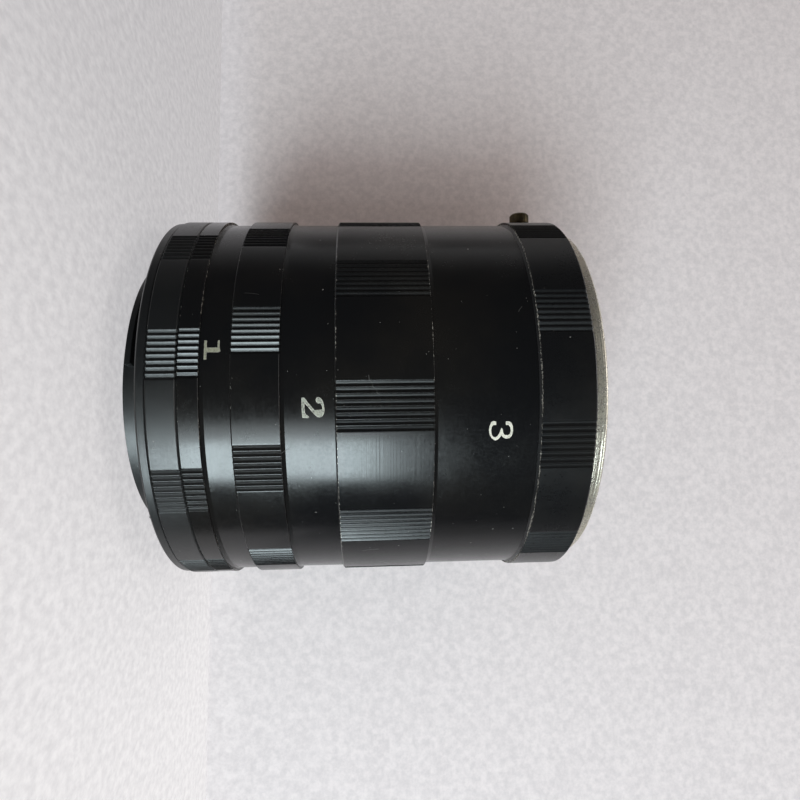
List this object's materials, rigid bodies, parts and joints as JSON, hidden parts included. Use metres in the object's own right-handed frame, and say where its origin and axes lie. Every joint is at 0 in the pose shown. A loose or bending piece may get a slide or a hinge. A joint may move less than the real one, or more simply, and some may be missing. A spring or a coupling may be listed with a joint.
{
  "type": "macro extension tube",
  "caption": "Stacked macro extension tubes with knurled grip bands, a male bayonet at the camera end and a locking bayonet flange at the lens end.",
  "frame": {"origin": "centre of the end face of the camera bayonet's pilot, on which the set stands", "axes": "+Z along the optical axis, from the camera end to the lens end; -Y faces the viewer of the figures 1, 2 and 3; the release knob is near -X"},
  "size_m": [0.0641, 0.0612, 0.0707],
  "materials": {
    "black_ring": "semi-gloss black finish on turned aluminium, worn to bare metal at the edges",
    "black_bayonet": "satin black finish on a milled bayonet",
    "chrome_flange": "turned bright flange, dulled and warm with wear",
    "spring_steel": "bare spring steel",
    "screw_steel": "bare steel screws",
    "brass_knob": "dull aged brass"
  },
  "bodies": {
    "camera_end": {"camera_bayonet": "black_bayonet", "camera_bayonet_screws": "screw_steel", "camera_mount_ring": "black_ring"},
    "tube_one": {"tube_1": "black_ring"},
    "tube_two": {"tube_2": "black_ring"},
    "tube_three": {"tube_3": "black_ring"},
    "lens_end": {"lens_mount_ring": "black_ring", "lens_flange": "chrome_flange", "lens_flange_screws": "screw_steel", "lens_stop_pin": "screw_steel", "lock_spring": "spring_steel", "leaf_spring_1": "spring_steel", "leaf_spring_2": "spring_steel", "leaf_spring_3": "spring_steel"},
    "lens_lock": {"lock_pin": "screw_steel", "release_knob": "brass_knob"}
  },
  "joints": [
    {"name": "unscrew_tube_1", "type": "slide", "parent": "camera_end", "child": "tube_one", "axis": [0, 0, 1], "range_m": [0, 0.008]},
    {"name": "unscrew_tube_2", "type": "slide", "parent": "tube_one", "child": "tube_two", "axis": [0, 0, 1], "range_m": [0, 0.008]},
    {"name": "unscrew_tube_3", "type": "slide", "parent": "tube_two", "child": "tube_three", "axis": [0, 0, 1], "range_m": [0, 0.008]},
    {"name": "unscrew_lens_end", "type": "slide", "parent": "tube_three", "child": "lens_end", "axis": [0, 0, 1], "range_m": [0, 0.008]},
    {"name": "lens_release", "type": "slide", "parent": "lens_end", "child": "lens_lock", "axis": [0, 0, -1], "range_m": [0, 0.0013], "stiffness_N_per_m": 400, "springref_m": -0.001, "deforming": ["lock_spring"]}
  ]
}
